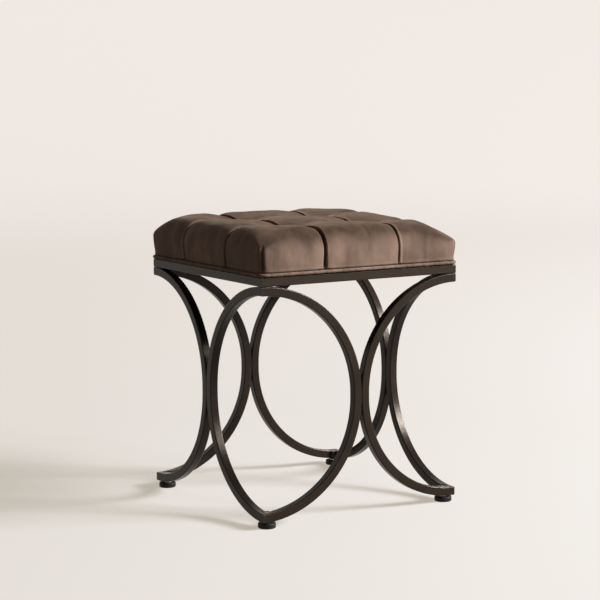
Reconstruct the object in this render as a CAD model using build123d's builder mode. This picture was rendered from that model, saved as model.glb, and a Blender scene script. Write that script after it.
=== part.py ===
from build123d import *
import os
from math import sqrt

os.makedirs("parts", exist_ok=True)

# Overall sizes, in millimetres
APRON_WIDTH = 386.0  # outside of the four apron rails, both ways
APRON_TOP = 416.0  # floor to the top of the rails, where the seat rests
SEAT_RISE = 78.0  # top of the rails to the crown of the cushion
SEAT_OVERHANG = 4.5  # cushion and welt beyond the rails, on each side

# Square steel tube of the rails and arcs
TUBE = 15.0
TUBE_WALL = 1.5
TUBE_EDGE = 1.8  # outside radius of the tube's long edges
BEND_RUN = 2.0  # straight stub between a mitred end and its bend
WELD_GAP = 0.2  # root gap round a welded bush

# Levelling feet
FOOT_INSET = 14.5  # centre of a foot, in from both outer faces
STUD_DIAMETER = 8.0
STUD_RECESS = 0.5  # end of the shank below the top of its bush
BUSH_WALL = 4.0
HEX_WIDTH = 13.0  # across the flats
HEX_THICKNESS = 1.8
PAD_DIAMETER = 30.0
PAD_EDGE = 2.0
SOCKET_FLOOR = 2.6  # pad left under the stud's collar
SOCKET_LIP = 2.8  # pad left over the stud's collar
NECK_DIAMETER = 7.0
COLLAR_WIDTH = 1.5  # beyond the neck
COLLAR_THICKNESS = 3.0
RUN_CLEARANCE = 0.05  # radial, of a turning stud
END_CLEARANCE = 0.2  # along the stud, between faces that turn past each other

# Corner tabs and the four seat bolts
TAB_THICKNESS = 3.0
TAB_MARGIN = 3.4  # tab left beyond a washer
BOLT_SETBACK = 7.5  # washer to the rails
BOLT_DIAMETER = 6.0
BOLT_CLEARANCE = 0.3  # radial, in the holes it passes through
HEAD_WIDTH = 2.5  # beyond the shank
HEAD_HEIGHT = 4.0
HEAD_EDGE = 1.3
HEAD_SOCKET = 5.5  # across the corners of the key socket
WASHER_WIDTH = 1.0  # beyond the head
WASHER_THICKNESS = 1.2
NUT_WALL = 1.0  # of a T-nut's barrel
NUT_FLANGE_WIDTH = 5.5  # beyond the barrel
NUT_FLANGE_THICKNESS = 1.2
THREAD_CLEARANCE = 0.05  # radial, bolt in T-nut and T-nut in board

# Seat board, cover and filling
BOARD_THICKNESS = 12.0
BOARD_CORNER = 5.7
COVER_THICKNESS = 1.2
WELT_DIAMETER = 6.8
SOFT_GAP = 0.3  # between a soft piece and what it lies beside
HEM_WIDTH = 36.0  # cover turned under the board
DUST_THICKNESS = 0.8
DRAW_IN = 2.5  # how far the sides pull in at the welt
SHOULDER = 38.0  # radius of the cushion's upper edges
CORNER_FALL = 30.0  # crown of the cushion above the tops of its corners
MIDDLE_SQUARE = 146.0  # between the sewn channels, both ways
TUFT_SAG = 5.0  # crown of the middle square above its corners
SEAM_DEPTH = 4.0  # sewn channel on the sides
SEAM_DROP = 7.5  # sewn channel below the crown
SEAM_SPREAD = 20.0  # half width of a channel's slopes
CUT_MARGIN = 1.0  # how far a cutting shape clears the cushion
SIDE_WADDING = 6.3  # least, beside the foam
TOP_WADDING = 9.0  # over the foam, under a sewn channel
FOAM_EDGE = 18.0
FOAM_CORNER_RUN = 4.0  # plan corner larger than the edge
TIE_DIAMETER = 2.4
KNOT_DIAMETER = 8.0
KNOT_THICKNESS = 2.0

# Staples under the board
STAPLES_PER_SIDE = 5
STAPLE_CROWN = 10.0
STAPLE_WIRE = 1.0
STAPLE_BITE = 6.0  # legs in the board
STAPLE_INSET = 8.0  # in from the edge of the dust cover
STAPLE_MARGIN = 8.0  # between the last staple and a corner tab

# Frame and feet, worked out from the sizes above
HALF = APRON_WIDTH / 2
INNER = HALF - TUBE  # inner faces of the rails
BORE = TUBE - 2 * TUBE_WALL
BORE_EDGE = max(TUBE_EDGE - TUBE_WALL, TUBE_EDGE / 4)
COLLAR_BOTTOM = SOCKET_FLOOR + END_CLEARANCE
SOCKET_TOP = COLLAR_BOTTOM + COLLAR_THICKNESS + END_CLEARANCE
PAD_TOP = SOCKET_TOP + SOCKET_LIP
HEX_BOTTOM = PAD_TOP + END_CLEARANCE
HEX_TOP = HEX_BOTTOM + HEX_THICKNESS
FRAME_BOTTOM = HEX_TOP + END_CLEARANCE
COLLAR_DIAMETER = NECK_DIAMETER + 2 * COLLAR_WIDTH
BUSH_DIAMETER = STUD_DIAMETER + 2 * BUSH_WALL
FOOT_AT = HALF - FOOT_INSET
ARC_TOP = APRON_TOP - TUBE
ARC_RUN = HALF - TUBE / 2
ARC_RISE = ARC_TOP - FRAME_BOTTOM - TUBE
BEND_RADIUS = min(ARC_RUN, ARC_RISE / 2) - BEND_RUN

# Seat, worked out from the frame
SEAT_HALF = HALF + SEAT_OVERHANG
SEAT_WIDTH = 2 * SEAT_HALF
SEAT_TOP = APRON_TOP + SEAT_RISE
BAND_HALF = SEAT_HALF - WELT_DIAMETER - SOFT_GAP  # cover against the board's edge
BOARD_HALF = BAND_HALF - COVER_THICKNESS
BOARD_BOTTOM = APRON_TOP + COVER_THICKNESS
BOARD_TOP = BOARD_BOTTOM + BOARD_THICKNESS
WELT_HALF = SEAT_HALF - WELT_DIAMETER / 2
WELT_AT = APRON_TOP + SOFT_GAP + WELT_DIAMETER / 2
CUSHION_BOTTOM = WELT_AT + WELT_DIAMETER / 2 + SOFT_GAP
SEAM_AT = MIDDLE_SQUARE / 2
SEAMS = [-SEAM_AT, SEAM_AT]
EDGES = [-SEAT_HALF - SHOULDER, *SEAMS, SEAT_HALF + SHOULDER]  # of the tufted squares
OUTER_CENTRE = (SEAM_AT + SEAT_HALF) / 2
CENTRES = [-OUTER_CENTRE, 0, OUTER_CENTRE]
CUSHION_CORNER = BOARD_CORNER + SEAT_HALF - BOARD_HALF
CORNER_REACH = sqrt(2) * SEAT_HALF - (sqrt(2) - 1) * CUSHION_CORNER  # from the axis, on plan
DOME_DEPTH = (CORNER_REACH**2 - SEAT_HALF**2 + CORNER_FALL**2) / (2 * CORNER_FALL)
DOME_RADIUS = sqrt(SEAT_HALF**2 + DOME_DEPTH**2)
FOAM_HALF = SEAT_HALF - DRAW_IN - SEAM_DEPTH - COVER_THICKNESS - SIDE_WADDING
FOAM_TOP = SEAT_TOP - SEAM_DROP - COVER_THICKNESS - TOP_WADDING
TIE_TOP = SEAT_TOP - SEAM_DROP - COVER_THICKNESS - SOFT_GAP

# Fastenings, worked out from the seat and the frame
BOLT_HOLE = BOLT_DIAMETER + 2 * BOLT_CLEARANCE
HEAD_DIAMETER = BOLT_DIAMETER + 2 * HEAD_WIDTH
WASHER_DIAMETER = HEAD_DIAMETER + 2 * WASHER_WIDTH
NUT_BARREL = BOLT_DIAMETER + 2 * (THREAD_CLEARANCE + NUT_WALL)
NUT_FLANGE = NUT_BARREL + 2 * NUT_FLANGE_WIDTH
BOLT_INSET = WASHER_DIAMETER / 2 + BOLT_SETBACK  # from the inner faces of two rails
BOLT_AT = INNER - BOLT_INSET
TAB_LEG = 2 * BOLT_INSET + sqrt(2) * (WASHER_DIAMETER / 2 + TAB_MARGIN)
DUST_HALF = INNER - SOFT_GAP
DUST_BOTTOM = APRON_TOP - DUST_THICKNESS
TAB_BOTTOM = DUST_BOTTOM - TAB_THICKNESS
WASHER_BOTTOM = TAB_BOTTOM - WASHER_THICKNESS
HEAD_BOTTOM = WASHER_BOTTOM - HEAD_HEIGHT
STAPLE_AT = DUST_HALF - STAPLE_INSET
STAPLE_LEG = DUST_THICKNESS + COVER_THICKNESS + STAPLE_BITE
STAPLE_REACH = INNER - TAB_LEG - STAPLE_MARGIN - STAPLE_CROWN / 2
STAPLE_PITCH = 2 * STAPLE_REACH / (STAPLES_PER_SIDE - 1)

# Sides and corners, each a quarter turn after the one before it
SIDES = ["front", "right", "back", "left"]
CORNERS = ["front_left", "front_right", "back_right", "back_left"]
LEFT_MITRE = Plane(origin=(0, 0, 0), x_dir=(0, 0, 1), z_dir=(1, -1, 0))
RIGHT_MITRE = Plane(origin=(0, 0, 0), x_dir=(0, 0, 1), z_dir=(-1, -1, 0))
FROM_BELOW = (Align.CENTER, Align.CENTER, Align.MIN)


def save(piece, name):
    """Label a finished piece and write it as its own file."""
    piece.part.label = name
    export_step(piece.part, f"parts/{name}.step")


def save_turned(piece, names):
    """Write one copy of a piece for each quarter turn about the stool's axis."""
    for turn, name in enumerate(names):
        with BuildPart() as copy:
            add(piece.part, rotation=(0, 0, 90 * turn))
        save(copy, name)


def corner_radius(half):
    """Plan corner of a seat layer that lies round the board."""
    return BOARD_CORNER + half - BOARD_HALF


# Apron rails: mitred square tube
with BuildPart() as rail:
    with BuildSketch(Plane.YZ.offset(-HALF)):
        with Locations((-HALF + TUBE / 2, APRON_TOP - TUBE / 2)):
            RectangleRounded(TUBE, TUBE, TUBE_EDGE)
            RectangleRounded(BORE, BORE, BORE_EDGE, mode=Mode.SUBTRACT)
    extrude(amount=APRON_WIDTH)
    split(bisect_by=LEFT_MITRE, keep=Keep.TOP)
    split(bisect_by=RIGHT_MITRE, keep=Keep.TOP)
save_turned(rail, [f"apron_rail_{side}" for side in SIDES])

# Arcs: a C of tube from corner to corner, bent as large as its face allows
with BuildPart() as left_arc:
    with BuildLine(Plane.XZ.offset(HALF - TUBE / 2)) as arc_path:
        FilletPolyline(
            (-HALF, ARC_TOP - TUBE / 2),
            (-TUBE / 2, ARC_TOP - TUBE / 2),
            (-TUBE / 2, FRAME_BOTTOM + TUBE / 2),
            (-HALF, FRAME_BOTTOM + TUBE / 2),
            radius=BEND_RADIUS,
        )
    with BuildSketch(Plane(origin=arc_path.line @ 0, z_dir=arc_path.line % 0)):
        RectangleRounded(TUBE, TUBE, TUBE_EDGE)
        RectangleRounded(BORE, BORE, BORE_EDGE, mode=Mode.SUBTRACT)
    sweep(path=arc_path.line)
    split(bisect_by=LEFT_MITRE, keep=Keep.TOP)
    with Locations((-FOOT_AT, -FOOT_AT, 0)):
        Cylinder(BUSH_DIAMETER / 2 + WELD_GAP, FRAME_BOTTOM + 2 * TUBE, align=FROM_BELOW, mode=Mode.SUBTRACT)
with BuildPart() as right_arc:
    mirror(left_arc.part, about=Plane.YZ)
save_turned(left_arc, ["arc_front_left", "arc_right_front", "arc_back_right", "arc_left_back"])
save_turned(right_arc, ["arc_front_right", "arc_right_back", "arc_back_left", "arc_left_front"])

# Corner tabs: gussets inside the apron that take the seat bolts
with BuildPart() as tab:
    with BuildSketch(Plane.XY.offset(TAB_BOTTOM)):
        with BuildLine():
            Polyline((-INNER, -INNER), (-INNER + TAB_LEG, -INNER), (-INNER, -INNER + TAB_LEG), close=True)
        make_face()
        with Locations((-BOLT_AT, -BOLT_AT)):
            Circle(BOLT_HOLE / 2, mode=Mode.SUBTRACT)
    extrude(amount=TAB_THICKNESS)
save_turned(tab, [f"corner_tab_{corner}" for corner in CORNERS])

# Foot bushes: threaded bosses welded into the mitred corners
with BuildPart() as bush:
    with BuildSketch(Plane.XY.offset(FRAME_BOTTOM)):
        with Locations((-FOOT_AT, -FOOT_AT)):
            Circle(BUSH_DIAMETER / 2)
            Circle(STUD_DIAMETER / 2 + RUN_CLEARANCE, mode=Mode.SUBTRACT)
    extrude(amount=TUBE)
save_turned(bush, [f"foot_bush_{corner}" for corner in CORNERS])

# Foot studs: threaded shank, hexagon, neck and the collar that the pad holds
with BuildPart() as stud:
    with Locations((-FOOT_AT, -FOOT_AT, COLLAR_BOTTOM)):
        Cylinder(COLLAR_DIAMETER / 2, COLLAR_THICKNESS, align=FROM_BELOW)
        Cylinder(NECK_DIAMETER / 2, HEX_TOP - COLLAR_BOTTOM, align=FROM_BELOW)
    with BuildSketch(Plane.XY.offset(HEX_BOTTOM)):
        with Locations((-FOOT_AT, -FOOT_AT)):
            RegularPolygon(HEX_WIDTH / 2, 6, major_radius=False)
    extrude(amount=HEX_THICKNESS)
    with Locations((-FOOT_AT, -FOOT_AT, HEX_BOTTOM)):
        Cylinder(STUD_DIAMETER / 2, FRAME_BOTTOM + TUBE - STUD_RECESS - HEX_BOTTOM, align=FROM_BELOW)
save_turned(stud, [f"foot_stud_{corner}" for corner in CORNERS])

# Foot pads: moulded discs that turn on the studs' collars
with BuildPart() as pad:
    with Locations((-FOOT_AT, -FOOT_AT, 0)):
        Cylinder(PAD_DIAMETER / 2, PAD_TOP, align=FROM_BELOW)
    fillet(pad.edges().filter_by(GeomType.CIRCLE), radius=min(PAD_EDGE, SOCKET_FLOOR))
    with Locations((-FOOT_AT, -FOOT_AT, SOCKET_FLOOR)):
        socket_depth = SOCKET_TOP - SOCKET_FLOOR
        throat_depth = PAD_TOP - SOCKET_FLOOR
        Cylinder(COLLAR_DIAMETER / 2 + RUN_CLEARANCE, socket_depth, align=FROM_BELOW, mode=Mode.SUBTRACT)
        Cylinder(NECK_DIAMETER / 2 + RUN_CLEARANCE, throat_depth, align=FROM_BELOW, mode=Mode.SUBTRACT)
save_turned(pad, [f"foot_pad_{corner}" for corner in CORNERS])

# Seat board, bored for the T-nuts and the tufting ties
with BuildPart() as board:
    with BuildSketch(Plane.XY.offset(BOARD_BOTTOM)):
        RectangleRounded(2 * BOARD_HALF, 2 * BOARD_HALF, corner_radius(BOARD_HALF))
        with GridLocations(2 * BOLT_AT, 2 * BOLT_AT, 2, 2):
            Circle(NUT_BARREL / 2 + THREAD_CLEARANCE, mode=Mode.SUBTRACT)
        with GridLocations(MIDDLE_SQUARE, MIDDLE_SQUARE, 2, 2):
            Circle(TIE_DIAMETER / 2 + SOFT_GAP, mode=Mode.SUBTRACT)
    extrude(amount=BOARD_THICKNESS)
    with BuildSketch(Plane.XY.offset(BOARD_BOTTOM)):
        with GridLocations(MIDDLE_SQUARE, MIDDLE_SQUARE, 2, 2):
            Circle(KNOT_DIAMETER / 2 + SOFT_GAP)
    extrude(amount=KNOT_THICKNESS + SOFT_GAP, mode=Mode.SUBTRACT)
save(board, "seat_board")

# T-nuts: flange on top of the board, barrel down through it
with BuildPart() as nuts:
    with BuildSketch(Plane.XY.offset(BOARD_TOP)):
        with GridLocations(2 * BOLT_AT, 2 * BOLT_AT, 2, 2):
            Circle(NUT_FLANGE / 2)
    extrude(amount=NUT_FLANGE_THICKNESS)
    with BuildSketch(Plane.XY.offset(BOARD_BOTTOM)):
        with GridLocations(2 * BOLT_AT, 2 * BOLT_AT, 2, 2):
            Circle(NUT_BARREL / 2)
    extrude(amount=BOARD_THICKNESS)
    with BuildSketch(Plane.XY.offset(BOARD_BOTTOM)):
        with GridLocations(2 * BOLT_AT, 2 * BOLT_AT, 2, 2):
            Circle(BOLT_DIAMETER / 2 + THREAD_CLEARANCE)
    extrude(amount=BOARD_THICKNESS + NUT_FLANGE_THICKNESS, mode=Mode.SUBTRACT)
save(nuts, "t_nuts")

# Washers and seat bolts, driven up through the corner tabs
with BuildPart() as washers:
    with BuildSketch(Plane.XY.offset(WASHER_BOTTOM)):
        with GridLocations(2 * BOLT_AT, 2 * BOLT_AT, 2, 2):
            Circle(WASHER_DIAMETER / 2)
            Circle(BOLT_HOLE / 2, mode=Mode.SUBTRACT)
    extrude(amount=WASHER_THICKNESS)
save(washers, "seat_washers")

with BuildPart() as bolts:
    with BuildSketch(Plane.XY.offset(HEAD_BOTTOM)):
        with GridLocations(2 * BOLT_AT, 2 * BOLT_AT, 2, 2):
            Circle(HEAD_DIAMETER / 2)
    extrude(amount=HEAD_HEIGHT)
    fillet(bolts.edges().group_by(Axis.Z)[0], radius=min(HEAD_EDGE, HEAD_WIDTH, HEAD_HEIGHT / 2))
    with BuildSketch(Plane.XY.offset(HEAD_BOTTOM)):
        with GridLocations(2 * BOLT_AT, 2 * BOLT_AT, 2, 2):
            RegularPolygon(HEAD_SOCKET / 2, 6)
    extrude(amount=HEAD_HEIGHT / 2, mode=Mode.SUBTRACT)
    with BuildSketch(Plane.XY.offset(WASHER_BOTTOM)):
        with GridLocations(2 * BOLT_AT, 2 * BOLT_AT, 2, 2):
            Circle(BOLT_DIAMETER / 2)
    extrude(amount=BOARD_TOP - WASHER_BOTTOM)
save(bolts, "seat_bolts")


def seat_section(plane, half, bottom, top, shoulder):
    """Upright section of the cushion: drawn in at the welt, round at the shoulders."""
    crest = top - shoulder
    rise = crest - bottom
    side_radius = (rise**2 + DRAW_IN**2) / (2 * DRAW_IN)
    bulge = half - side_radius + sqrt(side_radius**2 - rise**2 / 4)
    with BuildSketch(plane) as section:
        with BuildLine():
            for side in (-1, 1):
                foot = (side * (half - DRAW_IN), bottom)
                widest = (side * half, crest)
                shoulder_top = (side * (half - shoulder), top)
                ThreePointArc(foot, (side * bulge, bottom + rise / 2), widest)
                RadiusArc(widest, shoulder_top, -side * shoulder)
            Line((shoulder - half, top), (half - shoulder, top))
            Line((DRAW_IN - half, bottom), (half - DRAW_IN, bottom))
        make_face()
    return section.sketch


def pillow(column, row, top):
    """One square of the quilt, under a spherical crown that sags to its corners."""
    reach = MIDDLE_SQUARE / sqrt(2)
    crown_radius = (reach**2 + TUFT_SAG**2) / (2 * TUFT_SAG)
    with BuildPart() as square:
        with BuildSketch(Plane.XY.offset(APRON_TOP)):
            with BuildLine():
                Polyline(
                    (EDGES[column], EDGES[row]),
                    (EDGES[column + 1], EDGES[row]),
                    (EDGES[column + 1], EDGES[row + 1]),
                    (EDGES[column], EDGES[row + 1]),
                    close=True,
                )
            make_face()
        extrude(amount=SEAT_TOP - APRON_TOP)
        with Locations((CENTRES[column], CENTRES[row], top - crown_radius)):
            Sphere(crown_radius, mode=Mode.INTERSECT)
    return square.part


def seam_groove(seam, half, bottom, top):
    """Wedge cut along a sewn channel, up both sides and over the crown."""
    ends = (half + CUT_MARGIN, bottom - CUT_MARGIN, top + CUT_MARGIN, SHOULDER + CUT_MARGIN)
    middle = (half - SEAM_DEPTH, bottom - CUT_MARGIN, top - SEAM_DROP, SHOULDER - SEAM_DROP)
    sections = [
        seat_section(Plane.YZ.offset(seam - SEAM_SPREAD), *ends),
        seat_section(Plane.YZ.offset(seam), *middle),
        seat_section(Plane.YZ.offset(seam + SEAM_SPREAD), *ends),
    ]
    with BuildPart() as groove:
        with Locations((seam, 0, APRON_TOP)):
            Box(2 * SEAM_SPREAD, SEAT_WIDTH + SHOULDER, SEAT_RISE + SHOULDER, align=FROM_BELOW)
        loft(sections, ruled=True, mode=Mode.SUBTRACT)
    return groove.part


def cushion_form(inset):
    """The tufted cushion, or the space inside its cover when drawn in by an inset."""
    half = SEAT_HALF - inset
    bottom = CUSHION_BOTTOM + inset
    top = SEAT_TOP - inset
    across = seat_section(Plane.XZ, half, bottom, top, SHOULDER)
    along = seat_section(Plane.YZ, half, bottom, top, SHOULDER)
    columns = range(len(CENTRES))
    squares = [pillow(column, row, top) for column in columns for row in columns]
    grooves = [seam_groove(seam, half, bottom, top) for seam in SEAMS]
    with BuildPart() as quilt:
        add(squares)
    with BuildPart() as form:
        extrude(across, amount=SEAT_WIDTH, both=True)
        extrude(along, amount=SEAT_WIDTH, both=True, mode=Mode.INTERSECT)
        with BuildSketch(Plane.XY.offset(APRON_TOP)):
            outer = 2 * (half + CUT_MARGIN)
            RectangleRounded(outer, outer, CUSHION_CORNER + (2 + sqrt(2)) * CUT_MARGIN)
        extrude(amount=SEAT_TOP - APRON_TOP, mode=Mode.INTERSECT)
        with Locations((0, 0, SEAT_TOP - DOME_DEPTH)):
            Sphere(DOME_RADIUS - inset, mode=Mode.INTERSECT)
        add(quilt.part, mode=Mode.INTERSECT)
        for groove in grooves:
            add(groove, mode=Mode.SUBTRACT)
            add(groove, rotation=(0, 0, 90), mode=Mode.SUBTRACT)
    return form.part


# Seat cover: tufted top and sides, a band beside the board and a hem turned under it
outer_form = cushion_form(0)
inner_form = cushion_form(COVER_THICKNESS)
with BuildPart() as cover:
    add(outer_form)
    add(inner_form, mode=Mode.SUBTRACT)
    with BuildSketch(Plane.XY.offset(APRON_TOP)):
        RectangleRounded(2 * BAND_HALF, 2 * BAND_HALF, corner_radius(BAND_HALF))
    extrude(amount=CUSHION_BOTTOM + COVER_THICKNESS - APRON_TOP)
    with BuildSketch(Plane.XY.offset(BOARD_BOTTOM)):
        RectangleRounded(2 * BOARD_HALF, 2 * BOARD_HALF, corner_radius(BOARD_HALF))
    extrude(amount=CUSHION_BOTTOM + COVER_THICKNESS - BOARD_BOTTOM, mode=Mode.SUBTRACT)
    with BuildSketch(Plane.XY.offset(APRON_TOP)):
        Rectangle(2 * (BOARD_HALF - HEM_WIDTH), 2 * (BOARD_HALF - HEM_WIDTH))
        with GridLocations(2 * BOLT_AT, 2 * BOLT_AT, 2, 2):
            Circle(BOLT_HOLE / 2)
    extrude(amount=COVER_THICKNESS, mode=Mode.SUBTRACT)
save(cover, "seat_cover")

# Foam: a plain block with eased edges, relieved for the T-nut flanges and the ties
with BuildPart() as foam_space:
    with BuildSketch(Plane.XY.offset(BOARD_TOP)):
        RectangleRounded(2 * FOAM_HALF, 2 * FOAM_HALF, FOAM_EDGE + FOAM_CORNER_RUN)
    extrude(amount=FOAM_TOP - BOARD_TOP)
    fillet(foam_space.faces().sort_by(Axis.Z)[-1].edges(), radius=FOAM_EDGE)
with BuildPart() as foam:
    add(foam_space.part)
    with BuildSketch(Plane.XY.offset(BOARD_TOP)):
        with GridLocations(2 * BOLT_AT, 2 * BOLT_AT, 2, 2):
            Circle(NUT_FLANGE / 2 + SOFT_GAP)
    extrude(amount=NUT_FLANGE_THICKNESS + SOFT_GAP, mode=Mode.SUBTRACT)
    with BuildSketch(Plane.XY.offset(BOARD_TOP)):
        with GridLocations(MIDDLE_SQUARE, MIDDLE_SQUARE, 2, 2):
            Circle(TIE_DIAMETER / 2 + SOFT_GAP)
    extrude(amount=FOAM_TOP - BOARD_TOP, mode=Mode.SUBTRACT)
save(foam, "foam_block")

# Wadding: fills the cover round the foam and the edge of the board
with BuildPart() as wadding:
    add(inner_form)
    add(foam_space.part, mode=Mode.SUBTRACT)
    with BuildSketch(Plane.XY.offset(APRON_TOP)):
        RectangleRounded(2 * BOARD_HALF, 2 * BOARD_HALF, corner_radius(BOARD_HALF))
    extrude(amount=BOARD_TOP - APRON_TOP, mode=Mode.SUBTRACT)
    with BuildSketch(Plane.XY.offset(BOARD_TOP)):
        with GridLocations(MIDDLE_SQUARE, MIDDLE_SQUARE, 2, 2):
            Circle(TIE_DIAMETER / 2 + SOFT_GAP)
    extrude(amount=SEAT_TOP - BOARD_TOP, mode=Mode.SUBTRACT)
save(wadding, "wadding")

# Tufting ties: twine from each crossing of the seams to a knot under the board
with BuildPart() as ties:
    with BuildSketch(Plane.XY.offset(BOARD_BOTTOM)):
        with GridLocations(MIDDLE_SQUARE, MIDDLE_SQUARE, 2, 2):
            Circle(KNOT_DIAMETER / 2)
    extrude(amount=KNOT_THICKNESS)
    with BuildSketch(Plane.XY.offset(BOARD_BOTTOM)):
        with GridLocations(MIDDLE_SQUARE, MIDDLE_SQUARE, 2, 2):
            Circle(TIE_DIAMETER / 2)
    extrude(amount=TIE_TOP - BOARD_BOTTOM)
save(ties, "tuft_ties")

# Welt: covered cord round the foot of the cushion, one corner of it at a time
with BuildPart() as welt_corner:
    with BuildLine(Plane.XY.offset(WELT_AT)) as welt_path:
        FilletPolyline(
            (0, -WELT_HALF), (WELT_HALF, -WELT_HALF), (WELT_HALF, 0), radius=corner_radius(WELT_HALF)
        )
    with BuildSketch(Plane(origin=welt_path.line @ 0, z_dir=welt_path.line % 0)):
        Circle(WELT_DIAMETER / 2)
    sweep(path=welt_path.line)
with BuildPart() as welt:
    for turn in range(len(CORNERS)):
        add(welt_corner.part, rotation=(0, 0, 90 * turn))
save(welt, "welt_cord")

# Dust cover: thin cloth under the board, inside the apron
with BuildPart() as dust_cover:
    with BuildSketch(Plane.XY.offset(DUST_BOTTOM)):
        Rectangle(2 * DUST_HALF, 2 * DUST_HALF)
        with GridLocations(2 * BOLT_AT, 2 * BOLT_AT, 2, 2):
            Circle(BOLT_HOLE / 2, mode=Mode.SUBTRACT)
    extrude(amount=DUST_THICKNESS)
save(dust_cover, "dust_cover")

# Staples: a row along each side, through the dust cover and the hem into the board
with BuildPart() as staple_row:
    row_middle = (STAPLE_AT, 0)
    with BuildSketch(Plane.XY.offset(DUST_BOTTOM - STAPLE_WIRE)):
        with Locations(row_middle):
            with GridLocations(0, STAPLE_PITCH, 1, STAPLES_PER_SIDE):
                Rectangle(STAPLE_WIRE, STAPLE_CROWN)
    extrude(amount=STAPLE_WIRE)
    with BuildSketch(Plane.XY.offset(DUST_BOTTOM)):
        with Locations(row_middle):
            with GridLocations(0, STAPLE_PITCH, 1, STAPLES_PER_SIDE):
                with GridLocations(0, STAPLE_CROWN - STAPLE_WIRE, 1, 2):
                    Rectangle(STAPLE_WIRE, STAPLE_WIRE)
    extrude(amount=STAPLE_LEG)
with BuildPart() as staples:
    for turn in range(len(SIDES)):
        add(staple_row.part, rotation=(0, 0, 90 * turn))
save(staples, "staples")
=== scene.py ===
import math

import bmesh
import bpy
import numpy as np
from mathutils import Matrix, Vector


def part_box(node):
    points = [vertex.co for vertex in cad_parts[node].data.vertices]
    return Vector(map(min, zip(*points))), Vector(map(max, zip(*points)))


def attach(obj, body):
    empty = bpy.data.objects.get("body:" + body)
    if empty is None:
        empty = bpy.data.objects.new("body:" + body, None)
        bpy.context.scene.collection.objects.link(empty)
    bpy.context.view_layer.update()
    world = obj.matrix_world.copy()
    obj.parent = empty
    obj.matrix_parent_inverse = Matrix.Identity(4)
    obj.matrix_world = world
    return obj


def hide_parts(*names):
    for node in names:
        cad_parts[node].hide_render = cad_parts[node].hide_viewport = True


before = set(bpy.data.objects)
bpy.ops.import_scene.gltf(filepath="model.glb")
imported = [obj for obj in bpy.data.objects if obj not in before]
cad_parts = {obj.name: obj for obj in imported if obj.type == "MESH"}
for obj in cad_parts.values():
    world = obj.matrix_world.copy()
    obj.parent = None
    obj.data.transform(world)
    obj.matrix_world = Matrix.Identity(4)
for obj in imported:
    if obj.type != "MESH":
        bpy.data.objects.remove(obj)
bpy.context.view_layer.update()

bl_info = {
    "name": "Tufted stool dressing",
    "version": (1, 0, 0),
    "blender": (4, 5, 0),
    "location": "View3D > Sidebar > Stool",
    "description": "Dresses the packed stool with its tufted seat, its finishes and a plain studio",
    "category": "Object",
}

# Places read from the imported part, in metres
SEAT_LOW, SEAT_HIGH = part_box("seat_cover")
WELT_LOW, WELT_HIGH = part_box("welt_cord")
DUST_LOW, DUST_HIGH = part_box("dust_cover")
BOARD_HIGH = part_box("seat_board")[1]
BOLT_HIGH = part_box("seat_bolts")[1]
NUT_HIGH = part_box("t_nuts")[1]
TIE_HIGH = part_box("tuft_ties")[1]
KNOT_RADIUS = 0.004
BOLT_HEAD_RADIUS = 0.0055
BOLT_HOLE_RADIUS = 0.0033
SEAM_AT = TIE_HIGH.x - KNOT_RADIUS
BOLT_AT = BOLT_HIGH.x - BOLT_HEAD_RADIUS
BOLT_PLACES = [(x * BOLT_AT, y * BOLT_AT) for x in (-1, 1) for y in (-1, 1)]
ROOT_BODY = "stool"
CORNERS = ("front_left", "front_right", "back_right", "back_left")
SOFT_GAP = 0.0003
QUARTER = math.pi / 2

# Grid of the cushion's skin: lines crowd in beside a seam
BESIDE_SEAM = (0.0, 0.0010, 0.0023, 0.0042, 0.0070, 0.0110)
ON_SEAM = 1e-6
SHOULDER_COLUMNS = 12
SHOULDER_ROWS = 8
SIDE_ROWS = 7
# How late the crown falls away to a corner: on the left and on the right
CORNER_SHAPES = (1.10, 0.62)
# How hard each seam is gathered: across X on the left and right, across Y at the front and back
GATHERS = ((1.0, 0.35), (0.8, 0.55))
# How sharply the dimple at a tie steepens towards its middle
DIMPLE_POWER = 1.7
# Frames for which the filling blows the skin up, and the least move that counts as one
FILL_FRAMES = 20
LEAST_MOVE = 1e-9

# Stitched lines: half-width, and what a firm seam, a cross seam and a gathered foot change in it
STITCH = 0.0011
STITCH_FIRM = 0.0005
STITCH_CROSS = 0.0004
STITCH_FOOT = 0.0009
STITCH_CREASE = 0.75
# The tuck beside a stitched line: its place in half-widths of that line, its half-width, and the half-width
# of the painted highlight along its ridge
TUCK_AT = 2.6
TUCK = 0.0018
TUCK_LIP = 0.0015
# Folds at the foot of a gathered seam: place past the seam, height and half-width
FOOT_FOLDS = ((0.0105, 0.0009, 0.0024), (0.0072, -0.0008, 0.0018))
# Corner seams: half-width, and the height over which one fades out at its top
CORNER_STITCH = 0.0024
CORNER_FADE = 0.009
# Loose ripples: how far from a seam they are full, then the wave, share and seed of each kind
RIPPLE_CLEAR = 0.006
RIPPLES = ((0.045, 0.6, 7), (0.018, 0.4, 11))
# Painted shade of the velvet on the front shoulders, standing in for the nap lying over: the way it faces,
# and the amount, wave and seed of its unevenness
PAINTED_SHADE_WAY = (0.0, -0.62, 0.785)
PAINTED_SHADE_UNEVEN, PAINTED_SHADE_WAVE, PAINTED_SHADE_SEED = 0.06, 0.09, 23

# Under the seat: the turned-in foot of the cushion, the hem and the dust cover
FOOT_TURN = 0.0012
HEM_WIDTH = 0.036
HEM_CLEAR = 0.0008
HEM_LIFT = 0.0004
HEM_CORNER = 0.006
HEM_CORNER_STEPS = 6
BOLT_HOLE_STEPS = 20
DUST_GRID = 72
STAPLED_EDGE = 0.022
DUST_PULL = 0.12

# The covered cord: points round it, along a side and round a corner
WELT_SIDES = 14
WELT_STEPS = 120
WELT_BEND_STEPS = 10
# Ripples of its cover: length, share and twist; and where round the cord its stitched side lies, which takes
# painted shade
WELT_WRAPS = ((0.0115, 1.0, 1.2), (0.0271, 0.6, -1.0))
WELT_STITCHED_AT = 2.2

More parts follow.
